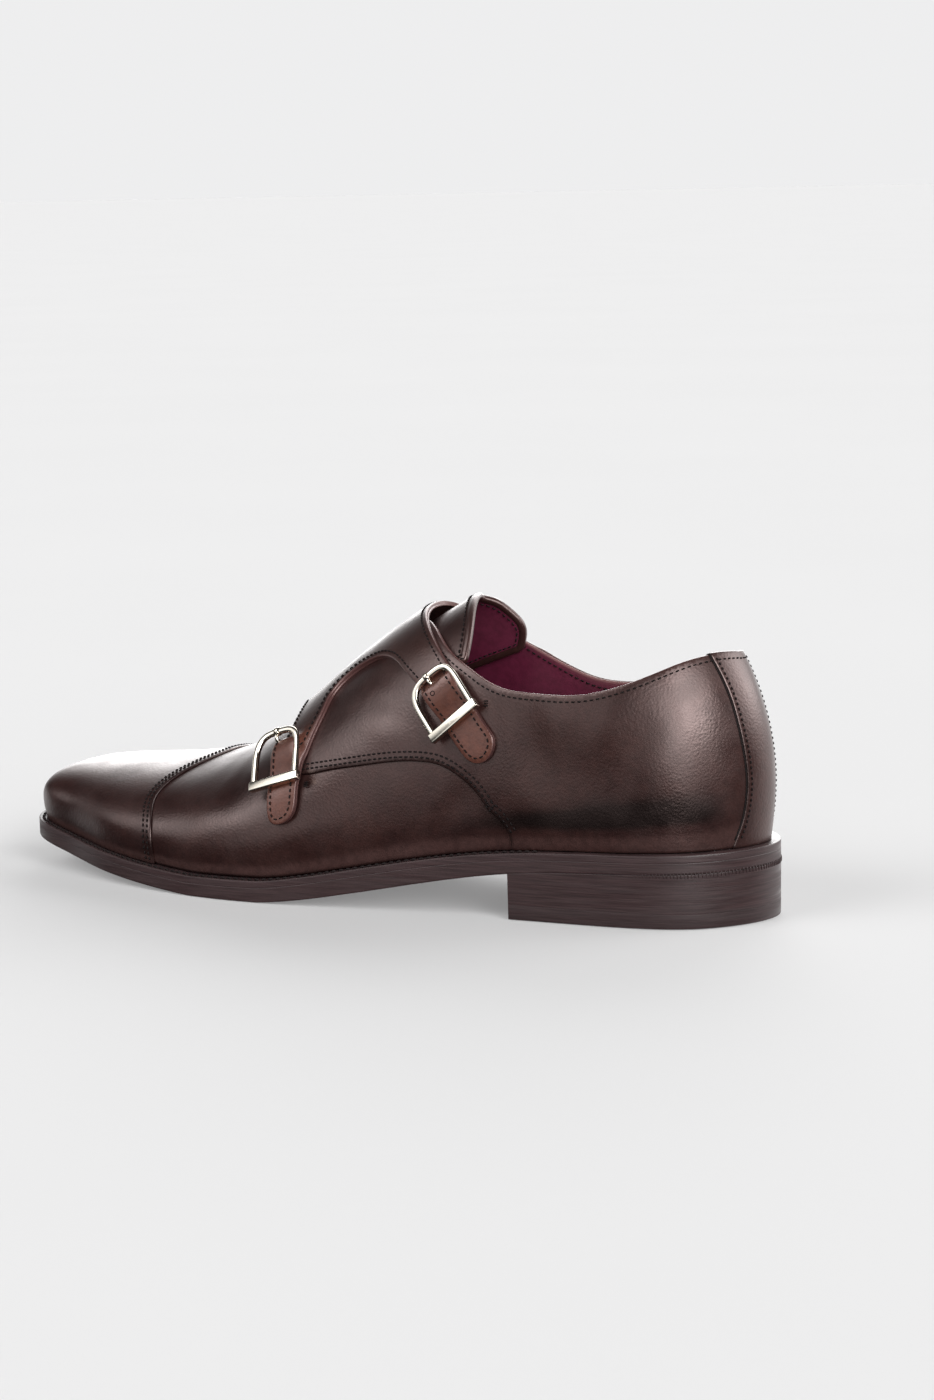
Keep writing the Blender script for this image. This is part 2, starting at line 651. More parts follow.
def ranged(tree, value, low, high, out_low=0.0, out_high=1.0):
    made = node(tree, "ShaderNodeMapRange", interpolation_type="SMOOTHSTEP")
    link(tree, value, made.inputs[0])
    for k, number in enumerate((low, high, out_low, out_high)):
        made.inputs[k + 1].default_value = number
    return made.outputs[0]


def attribute(tree, name):
    return node(tree, "ShaderNodeAttribute", attribute_name=name).outputs["Fac"]


def noise(tree, scale, detail=2.0, rough=0.5, stretch=(1, 1, 1)):
    place = node(tree, "ShaderNodeMapping")
    place.inputs["Scale"].default_value = stretch
    link(tree, node(tree, "ShaderNodeTexCoord").outputs["Object"], place.inputs["Vector"])
    made = node(tree, "ShaderNodeTexNoise", Scale=scale, Detail=detail, Roughness=rough)
    link(tree, place.outputs[0], made.inputs["Vector"])
    return made.outputs[0]


def cells(tree, scale):
    made = node(tree, "ShaderNodeTexVoronoi", Scale=scale, feature="SMOOTH_F1", Smoothness=0.6)
    link(tree, node(tree, "ShaderNodeTexCoord").outputs["Object"], made.inputs["Vector"])
    return made.outputs[0]


def bump(tree, shader, *layers):
    """Layers of (height socket, distance in metres, strength)."""
    last = None
    for height, distance, strength in layers:
        made = node(tree, "ShaderNodeBump", Distance=distance, Strength=strength)
        link(tree, height, made.inputs["Height"])
        if last is not None:
            link(tree, last, made.inputs["Normal"])
        last = made.outputs[0]
    link(tree, last, shader.inputs["Normal"])


def leather(name, deep, body, bright, raw, tab, rough=0.33, grain=1.0, coat=0.22):
    """Burnished calf: mottled colour, pebble grain, fine pores, paler cut edges, browner strap ends."""
    made, tree, shader = new_material(name, rough)
    shader.inputs["Specular IOR Level"].default_value = 0.85
    shader.inputs["Specular Tint"].default_value = (1, 0.74, 0.70, 1)
    shader.inputs["Coat Weight"].default_value = coat
    shader.inputs["Coat Roughness"].default_value = 0.23
    mottle = ranged(tree, noise(tree, 38, 4, 0.6), 0.35, 0.7)
    fine = noise(tree, 420, 3, 0.6)
    colour = mixed(tree, mottle, body, bright)
    browner = mixed(tree, mottle, tab, tuple(0.8 * value for value in tab))
    colour = mixed(tree, attribute(tree, "tab"), colour, browner)
    worn = tuple(1.5 * value + 0.012 for value in bright)
    colour = mixed(tree, ranged(tree, attribute(tree, "burnish"), 0.0, -1.0), colour, worn)
    rub = math_node(tree, "ADD", attribute(tree, "burnish"), math_node(tree, "MULTIPLY", mottle, -0.25))
    colour = mixed(tree, ranged(tree, rub, 0.0, 0.9), colour, deep)
    speck = ranged(tree, fine, 0.3, 0.75, 0.0, 0.35)
    colour = mixed(tree, speck, colour, deep)
    colour = mixed(tree, math_node(tree, "MULTIPLY", attribute(tree, "dark"), 0.7), colour, deep)
    colour = mixed(tree, attribute(tree, "edge"), colour, raw)
    link(tree, colour, shader.inputs["Base Color"])
    pebble = cells(tree, 1150)
    wide = noise(tree, 900, 3, 0.55)
    patch = ranged(tree, noise(tree, 60, 2), 0.3, 0.7, rough - 0.05, rough + 0.1)
    link(tree, patch, shader.inputs["Roughness"])
    bump(tree, shader, (pebble, 0.00012, 0.35 * grain), (wide, 0.00010, 0.55 * grain), (fine, 0.0002, 0.1))
    return made


def brushed_sole(name, dark, light, rough=0.42):
    """Stained and brushed sole edge: fine lines along the edge."""
    made, tree, shader = new_material(name, rough)
    shader.inputs["Specular IOR Level"].default_value = 0.5
    lines = noise(tree, 1.0, 4, 0.65, stretch=(60, 60, 2600))
    broad = noise(tree, 1.0, 3, 0.5, stretch=(45, 45, 700))
    link(tree, mixed(tree, ranged(tree, lines, 0.3, 0.72), dark, light), shader.inputs["Base Color"])
    link(tree, ranged(tree, broad, 0.3, 0.7, rough - 0.08, rough + 0.12), shader.inputs["Roughness"])
    bump(tree, shader, (lines, 0.0001, 0.3), (broad, 0.0002, 0.12))
    return made


def thread(name, colour, light):
    made, tree, shader = new_material(name, 0.75)
    shader.inputs["Specular IOR Level"].default_value = 0.25
    twist = noise(tree, 2600, 2, 0.5)
    link(tree, mixed(tree, twist, colour, light), shader.inputs["Base Color"])
    bump(tree, shader, (twist, 0.0001, 0.5))
    return made


def polished_metal(name, colour, shade):
    made, tree, shader = new_material(name, 0.12, 1.0)
    haze = noise(tree, 350, 4, 0.6)
    link(tree, mixed(tree, ranged(tree, haze, 0.3, 0.8, 0, 0.35), colour, shade), shader.inputs["Base Color"])
    link(tree, ranged(tree, haze, 0.3, 0.75, 0.07, 0.2), shader.inputs["Roughness"])
    bump(tree, shader, (noise(tree, 900, 2, 0.5, stretch=(1, 1, 3)), 0.00004, 0.15))
    return made


CUT_EDGE = (0.10, 0.045, 0.042)
TAB_BROWN = (0.125, 0.043, 0.028)
UPPER_LEATHER = leather(
    "burnished_leather", (0.0030, 0.0012, 0.0012), (0.024, 0.0088, 0.0082), (0.038, 0.0145, 0.0125),
    CUT_EDGE, TAB_BROWN,
)
FLAP_LEATHER = leather(
    "flap_leather", (0.005, 0.0020, 0.0020), (0.026, 0.0095, 0.0080), (0.042, 0.0155, 0.0125),
    CUT_EDGE, TAB_BROWN,
)
LINING_LEATHER = leather(
    "lining_leather", (0.045, 0.005, 0.015), (0.115, 0.011, 0.036), (0.150, 0.018, 0.050), (0.24, 0.13, 0.11),
    TAB_BROWN, rough=0.5, grain=0.5, coat=0.0,
)
SOLE_EDGE = brushed_sole("sole_edge", (0.031, 0.0175, 0.018), (0.064, 0.037, 0.038))
WELT_LEATHER = brushed_sole("welt_leather", (0.034, 0.019, 0.020), (0.068, 0.040, 0.041))
HEEL_RUBBER = brushed_sole("heel_rubber", (0.029, 0.0165, 0.017), (0.054, 0.032, 0.033), 0.5)
DARK_THREAD = thread("dark_thread", (0.005, 0.003, 0.003), (0.012, 0.007, 0.007))
WELT_THREAD = thread("welt_thread", (0.008, 0.005, 0.005), (0.020, 0.012, 0.012))
PALE_GOLD = polished_metal("pale_gold", (0.93, 0.87, 0.77), (0.80, 0.69, 0.54))

# Looks: a material and the material slot it fills.
UPPER_LOOK = UPPER_LEATHER, "upper_leather"
FLAP_LOOK = FLAP_LEATHER, "strap_leather"
LINING_LOOK = LINING_LEATHER, "lining_leather"
SOLE_LOOK = SOLE_EDGE, "sole_leather"
METAL_LOOK = PALE_GOLD, "buckle_metal"


# ---------- upper: vamp and lining shells ----------
def collar_share(c):
    folded = np.where(c > TOE, LOOP - c, c)
    share = np.where(c > TOE, collar_inner(folded), collar_outer(folded))
    return np.where(folded >= THROAT_END, 1.0, np.minimum(0.985, share))


GATHER_FROM, GATHER_TO, GATHER = 160, 183, 12  # stations where the rows close in on the throat, and how much


def shell(name, look, outer, inner, drop, nodes=()):
    """A closed wall round the whole foot, open at the collar, the throat and underneath."""
    half = np.concatenate([
        np.linspace(0, 96, 65), np.linspace(98, 182, 57), [THROAT_END - 0.01],
        np.linspace(THROAT_END, 320, 80),
    ])
    stations = np.append(half, LOOP - half[1:-1][::-1])
    rows = np.append(np.linspace(0, 0.22, 14)[:-1], np.linspace(0.22, 1, 44))
    top = collar_share(stations)
    open_ = top < 1
    top = np.where(open_, top - drop / SHARE_SCALE, top)
    c, w = np.meshgrid(stations, rows, indexing="ij")
    folded = np.where(c > TOE, LOOP - c, c)
    gather = 1 + (GATHER - 1) * smooth(GATHER_FROM, GATHER_TO, folded)
    w = w * (1 - (1 - top[:, None]) * w ** (gather - 1))
    mesh = Mesh()
    near_top = np.where(open_[:, None], np.exp(-((top[:, None] - w) * SHARE_SCALE) / 0.7), 0)
    shade = burnish(c, w)
    front = mesh.add(on_upper(c, w, outer), burnish=shade, edge=0.6 * near_top)
    back = mesh.add(on_upper(c, w, inner), burnish=shade * 0.4, edge=0.6 * near_top)
    mesh.grid(front, wrap_rows=True)
    mesh.grid(back[:, ::-1], wrap_rows=True)
    mesh.grid(np.stack([back[:, 0], front[:, 0]], 1), wrap_rows=True)
    n = len(stations)
    for i in range(n):
        j = (i + 1) % n
        if open_[i] or open_[j]:
            mesh.faces.append([int(front[i, -1]), int(front[j, -1]), int(back[j, -1]), int(back[i, -1])])
    mesh.build(name, look, nodes)


shell("vamp", UPPER_LOOK, VAMP_FACE, VAMP_BACK, 0.5, ["upper"])
shell("lining", LINING_LOOK, VAMP_BACK - 0.02, -WALL, 0.0)


# ---------- upper: quarters and strap flap ----------
def collar_curve(table_side, start, end, n=60):
    c = np.linspace(start, end, n)
    share = collar_outer(c) if table_side == "outer" else 2 - collar_inner(c)
    return np.stack([c, share], -1)


def mirrored(curve):
    """The same curve on the shoe's other side."""
    return np.stack([curve[:, 0], 2 - curve[:, 1]], -1)


def closed_below(curve, share):
    """A panel's outline, closed down the heel and along the feather line at the given share."""
    down = np.linspace((HIDDEN_HEEL, curve[-1, 1]), (HIDDEN_HEEL, share), 24)
    return np.vstack([curve, down, np.linspace((HIDDEN_HEEL, share), (94, share), 90)])


QUARTER_SEAM = polyline(np.vstack([SEAM, SEAM_UNDER_STRAP]))
OUTER_COLLAR = collar_curve("outer", 172, HIDDEN_HEEL, 160)
def collar_edge(c, w):
    """One along the collar, where the cut leather shows paler, and zero on the dyed seams."""
    top = np.where(w < 1, collar_outer(c), 2 - collar_inner(c))
    return (np.abs(w - top) < 0.006) * (c < 150)


cut_panel(
    "quarter_outer", UPPER_LOOK, closed_below(np.vstack([QUARTER_SEAM, OUTER_COLLAR]), 0.0),
    lambda c, w: PANEL_BACK + 0 * c, lambda c, w: PANEL_FACE + 0 * c, collar_edge, 0.1,
)


def strap_edges(table):
    """Down one edge of a strap, round its tip and up the other."""
    return np.vstack([table[::-1, ::2][:, ::-1], table[:, :2][:, ::-1]])


INNER_SEAM = polyline(np.vstack([mirrored(SEAM), INNER_SEAM_END, FLAP_FRONT, strap_edges(FRONT_STRAP)]))
FLAP_ARCH = polyline(np.vstack([
    ARCH, strap_edges(REAR_STRAP), FLAP_REAR, collar_curve("inner", 111, HIDDEN_HEEL, 40),
]))

# Buckles: bar's two ends and the curved side's middle as (station, share), height of that side.
BUCKLES = {
    "front": {"back": (171.2, 0.401), "ahead": (191, 0.425), "far": (177.2, 0.596), "lift": 6.1},
    "rear": {"back": (105.1, 0.411), "ahead": (119.4, 0.352), "far": (116.8, 0.545), "lift": 4.2},
}
BAR_LIFT = 4.0
FRAME_LENGTH = 20.5
BAR_LENGTH = 20.0
WIRE = 1.0  # from the frame's outer side to the middle of its wire
SPARE_HOLE = (-0.6, 12.4)  # across and along the strap, from the bar's middle
TOE_CORNER, HEEL_CORNER = 2.9, 4.2  # squareness of the frame's two corners


def plain_point(c, w, d):
    return last_point(c, w) + normal_at(np.array(c, float), np.array(w, float)) * d


def buckle_axes(place):
    """Origin at the bar's middle, x along the bar, y to the curved side, z outward."""
    back, ahead = plain_point(*place["back"], BAR_LIFT), plain_point(*place["ahead"], BAR_LIFT)
    far = plain_point(*place["far"], place["lift"])
    origin = (back + ahead) / 2
    x = unit(back - ahead)
    y = far - origin
    y = unit(y - x * (y @ x))
    return origin, np.stack([x, y, np.cross(x, y)])


HUMP_HEIGHT = 3.0  # how far a strap rises over the buckle's hidden centre bar


def strap_hump(c, w):
    """Rise of each strap inside its buckle's frame, and the press of the thick bar."""
    points = last_point(c, w)
    rise = np.zeros(points.shape[:-1])
    for place in BUCKLES.values():
        origin, axes = buckle_axes(place)
        x, y, z = np.moveaxis((points - origin) @ axes.T, -1, 0)
        across = 1 - smooth(8.5, 12, np.abs(x))  # level over the strap's width
        up = smooth(1.2, 12.5, y) * (1 - smooth(14.2, 18.2, y))  # from the bar to the curved side
        rise += across * up * HUMP_HEIGHT * (np.abs(z) < 15) * (w < 0.68)
    return rise


def over_instep(c, w):
    """How far the flap stands off where it crosses over the vamp and the tongue."""
    return (1 - smooth(1.3, 1.56, w)) * (0.15 + 0.85 * (1 - smooth(186, 193, c)))


def flap_low(c, w):
    """Height of the flap's inner face; flap_high gives its outer face."""
    tip = 1 - 0.5 * (1 - smooth(0.28, 0.40, w)) * smooth(150, 165, c)
    return PANEL_BACK + 0.92 * over_instep(c, w) * tip + strap_hump(c, w)


def flap_high(c, w):
    doubled = 1 - smooth(1.3, 1.56, w)
    single = PANEL_FACE - PANEL_BACK
    return flap_low(c, w) + single + (STRAP - single) * doubled


def flap_edge(c, w):
    """Cut edges are paler on the straps and the flap, dyed dark on the seam and a little on the arch."""
    return np.where((w < 1.5) | (collar_edge(c, w) > 0), 1.0, 0.0)


def strap_tab(c, w):
    """One on each strap from inside its buckle to the tip, where the leather is browner."""
    return (1 - smooth(0.54, 0.6, w)) * (c > 150) + (1 - smooth(0.50, 0.55, w)) * (c < 145)


cut_panel(
    "quarter_inner_and_straps", FLAP_LOOK, closed_below(np.vstack([INNER_SEAM, FLAP_ARCH]), 2.0),
    flap_low, flap_high, flap_edge, 0.22, ["strap_flap"], split=True, tab=strap_tab,
)


# ---------- toe cap ----------
def toe_cap():
    station = spline(CAP[:, 0], CAP[:, 1])
    shares = np.linspace(0, 2, 181)
    start = station(shares)
    reach = TOE - start
    near_edge = np.array([0, 0.25, 0.5, 0.9, 1.4, 2.0, 2.7, 3.6])
    cols = np.append(near_edge / 85, np.linspace(4.6 / 85, 1, 70))
    c = start[:, None] + reach[:, None] * cols
    w = np.broadcast_to(shares[:, None], c.shape)
    away = c - start[:, None]
    top = PANEL_FACE - CUT_ROUND * np.exp(-away / 0.22) + 0.1 * (1 - np.exp(-away / 2))
    mesh, shade = Mesh(), burnish(c, w)
    front = mesh.add(on_upper(c, w, top), burnish=shade, dark=np.exp(-away / CREASE_REACH))
    back = mesh.add(on_upper(c, w, PANEL_BACK), burnish=shade)
    mesh.sheet(front, back, last_side=False)
    mesh.build("toe_cap", UPPER_LOOK)
    return np.stack([start, shares], -1)


CAP_EDGE = toe_cap()


# ---------- back strip ----------
STRIP_FACE = PANEL_FACE + 0.05  # height of the panels under the strip


def strip_stations(across, t):
    """Stations across the back strip, at a share t of its height."""
    return np.mod(across * strip_half(t * STRIP_TOP), LOOP)


def strip_shares(across, t):
    """Girth shares up the back strip, which ends level with the collar."""
    return t * collar_share(strip_stations(across, 1))


def back_strip():
    steps = np.linspace(0, 1, 60)
    across = np.concatenate([[-1, -0.99, -0.96], np.linspace(-0.88, 0.88, 21), [0.96, 0.99, 1]])
    edge_drop = np.interp(np.abs(across), [0.96, 0.99, 1], [0, 0.06, 0.25])
    fold = np.linspace(0, np.pi, 9)[1:]
    inside_reach = np.linspace(0.8, 8, 8)

    def layer(extra):
        """Rows up the heel, over the collar and down inside; extra is 0 below and 1 on the face."""
        high = STRIP_FACE + extra * (STRIP_THICKNESS - edge_drop)
        rows = [on_upper(strip_stations(across, t), strip_shares(across, t), high) for t in steps]
        c, top = strip_stations(across, 1), strip_shares(across, 1)
        out = normal_at(c, top)
        up = unit(last_point(c, top) - last_point(c, top - 0.02))
        depth = (STRIP_FACE + WALL + 0.1) / 2 + extra * STRIP_THICKNESS
        middle, rise = rows[-1] - out * depth, 0.35 + extra * 0.35
        rows += [middle + out * depth * math.cos(turn) + up * rise * math.sin(turn) for turn in fold]
        return np.array(rows + [rows[-1] - up * down for down in inside_reach])

    mesh = Mesh()
    shape = (len(steps) + len(fold) + len(inside_reach), len(across))
    shade = np.broadcast_to(burnish(np.mod(across * 13, LOOP), 0.2) * 0.6, shape)
    raw = np.broadcast_to((np.abs(across) > 0.97).astype(float), shape)
    mesh.sheet(mesh.add(layer(1.0), burnish=shade, dark=raw), mesh.add(layer(0.0), burnish=shade))
    mesh.build("back_strip", UPPER_LOOK)
    side = np.stack([strip_half(steps * STRIP_TOP), strip_shares(np.ones(1), steps)], -1)
    return side[3:]


STRIP_EDGE = back_strip()


# ---------- tongue ----------
TONGUE_LEATHER = 1.0  # thickness of its outer layer; the lining is the rest


def tongue():
    top, end = spline(TONGUE[:, 0], TONGUE[:, 1]), spline(TONGUE[:, 0], TONGUE[:, 2])
    shares = np.linspace(TONGUE[0, 0], TONGUE[-1, 0], 90)
    t = np.linspace(0, 1, 60) ** 1.3
    c = top(shares)[:, None] + (end(shares) - top(shares))[:, None] * t
    w = np.broadcast_to(shares[:, None], c.shape)
    for name, look, high, low, nodes in (
        ("tongue", UPPER_LOOK, 0.0, TONGUE_LEATHER, ["tongue"]),
        ("tongue_lining", LINING_LOOK, TONGUE_LEATHER + 0.02, TONGUE_THICKNESS, ()),
    ):
        mesh = Mesh()
        mesh.sheet(*(mesh.add(on_upper(c, w, -TONGUE_DEPTH - depth)) for depth in (high, low)))
        mesh.build(name, look, nodes)
    first = np.linspace((end(shares[0]), shares[0]), (top(shares[0]) + 2, shares[0]), 40)
    last = np.linspace((top(shares[-1]) + 2, shares[-1]), (end(shares[-1]), shares[-1]), 40)
    return np.vstack([first, np.stack([top(shares), shares], -1), last])


TONGUE_EDGE = tongue()


def tube_along(mesh, path, side, up, section, **tones):
    """Sweeps a closed section of (side, up) offsets along a line of points."""
    rows = path[:, None] + section[:, :1] * side[:, None] + section[:, 1:] * up[:, None]
    mesh.tube(rows, **tones)


def rounded_section(width, height, power, sides):
    cos, sin = np.cos(turns(sides)), np.sin(turns(sides))
    return np.stack([
        np.sign(cos) * np.abs(cos) ** (2 / power) * width / 2,
        np.sign(sin) * np.abs(sin) ** (2 / power) * height / 2,
    ], -1)


def tongue_binding():
    """Leather folded over the tongue's edge."""
    edge = open_line(TONGUE_EDGE, 0.8)
    path = on_upper(*shifted(edge, -0.9).T, -TONGUE_DEPTH - TONGUE_THICKNESS / 2)
    up = normal_at(*edge.T)
    ahead = unit(np.gradient(path, axis=0))
    side = np.cross(up, ahead)
    mesh = Mesh()
    tube_along(mesh, path, side, up, rounded_section(3.0, TONGUE_THICKNESS + 0.5, 2.6, 16), edge=0.1)
    mesh.build("tongue_binding", UPPER_LOOK)
    return shifted(edge, -2.0)


TONGUE_STITCHES = tongue_binding()


# ---------- sole ----------
SOLE_STATIONS = np.concatenate([np.linspace(0, 60, 61), np.linspace(63, 270, 70), np.linspace(272, 320, 65)])
HEEL_STATIONS = np.append(np.linspace(0, 48, 60), np.linspace(50, 94, 18))


def edge_rows(stations, profile, low, high):
    """Points up the edge for each station: profile is (margin, share of the height, added height)."""
    rows = []
    for margin, share, extra in profile:
        x, y = edge_point(stations, margin)
        rows.append(np.stack([x, y, low(x) + share * (high(x) - low(x)) + extra], -1))
    return np.stack(rows, 1)


def sole_solid(name, look, profile, stations, low, high, nodes, heel=False):
    """A plate that follows the sole's outline, with a shaped edge on both sides."""
    left = edge_rows(stations, profile, low, high)
    right = edge_rows(LOOP - stations, profile, low, high)
    t = np.linspace(0, 1, 21)[1:-1]

    def span(a, b, height):
        between = a[:, None] + (b - a)[:, None] * t[None, :, None]
        between[..., 2] = height(between[..., 0])
        return between

    z_low, z_high = profile[0][2], profile[-1][2]
    top = span(left[:, -1], right[:, -1], lambda x: high(x) + z_high)
    bottom = span(left[:, 0], right[:, 0], lambda x: low(x) + z_low)
    if heel:
        breast = float(edge_x(stations[-1]))
        grow = np.clip((left[:, :1, 0] - 45) / (breast - 45), 0, 1)
        scale = 1 + (HEEL_LENGTH / breast - 1) * grow
        hollow = BREAST_SAG * 4 * t * (1 - t)
        for part, sag in ((left, 0), (right, 0), (top, hollow), (bottom, hollow)):
            part[..., 0] = part[..., 0] * scale - sag * grow
    mesh = Mesh()
    ring = np.concatenate([left, top, right[:, ::-1], bottom[:, ::-1]], 1)
    mesh.grid(mesh.add(ring), wrap_cols=True)
    levels = np.array([share for _, share, _ in profile])
    face = bottom[-1][:, None] + (top[-1] - bottom[-1])[:, None] * levels[None, :, None]
    mesh.grid(mesh.add(np.concatenate([left[-1:], face, right[-1:]], 0)))
    mesh.build(name, look, nodes, sharp=38)


def welt_low(x):
    return sole_top(x) - WELT_THICKNESS


EDGE_BELOW = [
    (0.6, 0, 0), (0.15, 0, 0.12), (0, 0, 0.45), (0, 0, 0.8), (0, 1, -0.3), (0, 1, -0.07), (0.05, 1, 0),
]
sole_solid(
    "outsole", SOLE_LOOK, EDGE_BELOW, SOLE_STATIONS, sole_under, lambda x: welt_low(x) - 0.01, ["outsole"],
)


def insole_low(x):
    return sole_top(x) + GAP


INSET = WALL + 3.4  # of the insole from the sole's edge
INSOLE_EDGE = [
    (INSET + 0.4, 0, 0), (INSET, 0, 0.4), (INSET, 1, -0.9), (INSET + 0.3, 1, -0.3), (INSET + 1.2, 1, 0),
]
sole_solid(
    "insole_sock", LINING_LOOK, INSOLE_EDGE, SOLE_STATIONS, insole_low,
    lambda x: insole_low(x) + INSOLE_THICKNESS, ["insole"],
)


def welt():
    stations = np.append(SOLE_STATIONS, LOOP - SOLE_STATIONS[1:-1][::-1])
    profile = [
        (0.05, 0, 0), (0, 0, 0.07), (0, 0, 0.3), (0, 1, -0.7), (0, 1, -0.4), (0.1, 1, -0.1), (0.4, 1, 0),
        (1.1, 1, -0.05), (1.7, 1, -0.16), (2.3, 1, -0.05), (2.8, 1, 0), (WELT_WIDTH, 1, 0),
        (WELT_WIDTH, 0, 0),
    ]
    mesh = Mesh()
    mesh.hoop(edge_rows(stations, profile, welt_low, sole_top))
    mesh.build("welt", (WELT_LEATHER, "sole_leather"), ["welt"], sharp=50)


welt()


STACK_EDGE = [(0.23, 0, 0), (0.15, 0, 0.09), (0.14, 0, 0.4), (0.0, 1, -0.3), (0.0, 1, -0.07), (0.05, 1, 0)]
sole_solid(
    "heel_stack", SOLE_LOOK, STACK_EDGE, HEEL_STATIONS, lambda x: TOP_LIFT + 0.03 + 0 * x,
    lambda x: sole_under(x) - 0.02, ["heel_stack"], heel=True,
)
LIFT_EDGE = [(0.7, 0, 0), (0.3, 0, 0.15), (0.2, 0, 0.5), (0.14, 1, -0.35), (0.15, 1, -0.1), (0.24, 1, 0)]
sole_solid(
    "heel_top_lift", (HEEL_RUBBER, "heel_rubber"), LIFT_EDGE, HEEL_STATIONS, lambda x: 0 * x,
    lambda x: TOP_LIFT + 0 * x, ["heel_top_lift"], heel=True,
)


MARKS_END, MARK_SPACING = 74, 1.15


def heel_seat_marks():
    """Fine wheel marks pressed along the joint of sole and heel, fading to the breast."""
    mesh = Mesh()
    for side in (1, -1):
        for c in np.arange(0.5, MARKS_END, MARK_SPACING) * side:
            fade = 1 - 0.75 * float(smooth(30, MARKS_END, abs(c)))
            x, y = (float(q) for q in edge_point(c, 0.02))
            x1, y1 = (float(q) for q in edge_point(c, -1.0))
            out = unit(np.array([x1 - x, y1 - y, 0]))
            z = float(sole_under(x))
            path = np.array([[x, y, z - 1.5 * fade], [x, y, z + 0.9 * fade]])
            mark = {"pitch": 9, "length": 2.4 * fade, "radius": 0.13 * fade + 0.03}
            lay_stitches(mesh, path, np.array([out, out]), **mark)
    mesh.build("heel_seat_marks", SOLE_LOOK)


heel_seat_marks()


# ---------- stitching ----------
THREAD_SINK = 0.04  # threads lie pressed into the panels
SEWN = PANEL_FACE - THREAD_SINK
SEAM_THREAD = {"pitch": 2.0, "length": 1.6, "radius": 0.3}
WELT_SEAM_START, WELT_SEAM_MARGIN = 84, 1.7
KEEPER_TACKS = ((103.2, 0.398), (169.2, 0.366))


def upper_stitches():
    mesh = Mesh()
    seam = open_line(polyline(SEAM[1:]), 0.4)
    inner = open_line(INNER_SEAM, 0.4)
    inner = inner[: int(np.argmax(inner[:, 1] < 1.47))]
    for row in (1.5, 3.3):
        stitch_on_upper(mesh, shifted(seam, row), SEWN, **SEAM_THREAD)
        stitch_on_upper(mesh, shifted(inner, -row), sewn_on_flap, **SEAM_THREAD)
        stitch_on_upper(mesh, shifted(CAP_EDGE[2:-2], -row), SEWN, **SEAM_THREAD)
    collar = shifted(OUTER_COLLAR, 2.3)
    stitch_on_upper(mesh, collar[(collar[:, 0] >= 15) & (collar[:, 0] <= 124)], SEWN)
    mesh.build("stitches_upper", (DARK_THREAD, "upper_leather"))


def sewn_on_flap(c, w):
    return flap_high(c, w) - THREAD_SINK + 0.14 * (1 - smooth(1.45, 1.56, w))


def flap_stitches():
    mesh = Mesh()
    edge = np.vstack([INNER_SEAM, FLAP_ARCH])
    first = int(np.argmax(edge[:, 1] < 1.45))
    rows = shifted(open_line(edge[first:], 0.4), -1.8)
    stitch_on_upper(mesh, rows[rows[:, 0] > 14], lambda c, w: flap_high(c, w) + 0.1)
    mesh.build("stitches_straps", (DARK_THREAD, "strap_leather"))


def strip_stitches():
    mesh = Mesh()
    d = STRIP_FACE + STRIP_THICKNESS - 0.12
    for side in (1, -1):
        c = np.mod((STRIP_EDGE[:, 0] - 1.5) * side, LOOP)
        w = STRIP_EDGE[:, 1] * collar_share(c[-1]) / STRIP_EDGE[-1, 1]
        stitch_on_upper(mesh, np.stack([c, w], -1)[:-1], d, pitch=1.8, length=1.35, radius=0.3)
        c, w = np.mod((STRIP_EDGE[:, 0] + 0.25) * side, LOOP), w - 0.002
        path = on_upper(c, w, PANEL_FACE + 0.12)
        out = normal_at(c, w)
        across = np.cross(out, unit(np.gradient(path, axis=0)))
        tube_along(mesh, path, across, out, rounded_section(0.75, 0.5, 2.0, 8))
    c = np.mod(np.linspace(-14.5, 14.5, 30), LOOP)
    w = collar_share(c) - 1.8 / SHARE_SCALE
    lay_stitches(mesh, on_upper(c, w, d), normal_at(c, w), pitch=1.9, length=1.35)
    mesh.build("stitches_back_strip", (DARK_THREAD, "upper_leather"))


def tongue_stitches():
    mesh = Mesh()
    line = shifted(TONGUE_STITCHES, -0.7)
    stitch_on_upper(mesh, line, -TONGUE_DEPTH + 0.06)
    c, w = line.T
    lay_stitches(mesh, on_upper(c, w, -TONGUE_DEPTH - TONGUE_THICKNESS - 0.06), -normal_at(c, w))
    mesh.build("stitches_tongue", (DARK_THREAD, "upper_leather"))


def lining_stitches():
    """The collar row seen from inside."""
    mesh = Mesh()
    for c0, c1 in ((15, 118), (LOOP - 118, LOOP - 15)):
        c = np.linspace(c0, c1, 200)
        w = collar_share(c) - 2.4 / SHARE_SCALE
        lay_stitches(mesh, on_upper(c, w, -WALL - 0.06), -normal_at(c, w))
    mesh.build("stitches_lining", (DARK_THREAD, "lining_leather"))


def welt_stitches():
    mesh = Mesh()
    stations = np.linspace(WELT_SEAM_START, LOOP - WELT_SEAM_START, 900)
    x, y = edge_point(stations, WELT_SEAM_MARGIN)
    path = np.stack([x, y, sole_top(x) - 0.14], -1)
    up = np.broadcast_to([0.0, 0.0, 1.0], path.shape)
    lay_stitches(mesh, path, up, pitch=2.8, length=2.3, radius=0.42)
    mesh.build("stitches_welt", (WELT_THREAD, "sole_leather"))


def bar_tacks():
    """Where each buckle's keeper is sewn down beside its bar."""
    mesh = Mesh()
    for c, w in KEEPER_TACKS:
        for k in range(3):
            line = np.array([(c - 1.4, w + k * 0.006), (c + 1.4, w + 0.004 + k * 0.006)])
            stitch_on_upper(mesh, line, SEWN, pitch=2.6, length=2.2, radius=0.24)
    mesh.build("bar_tacks", (DARK_THREAD, "upper_leather"))


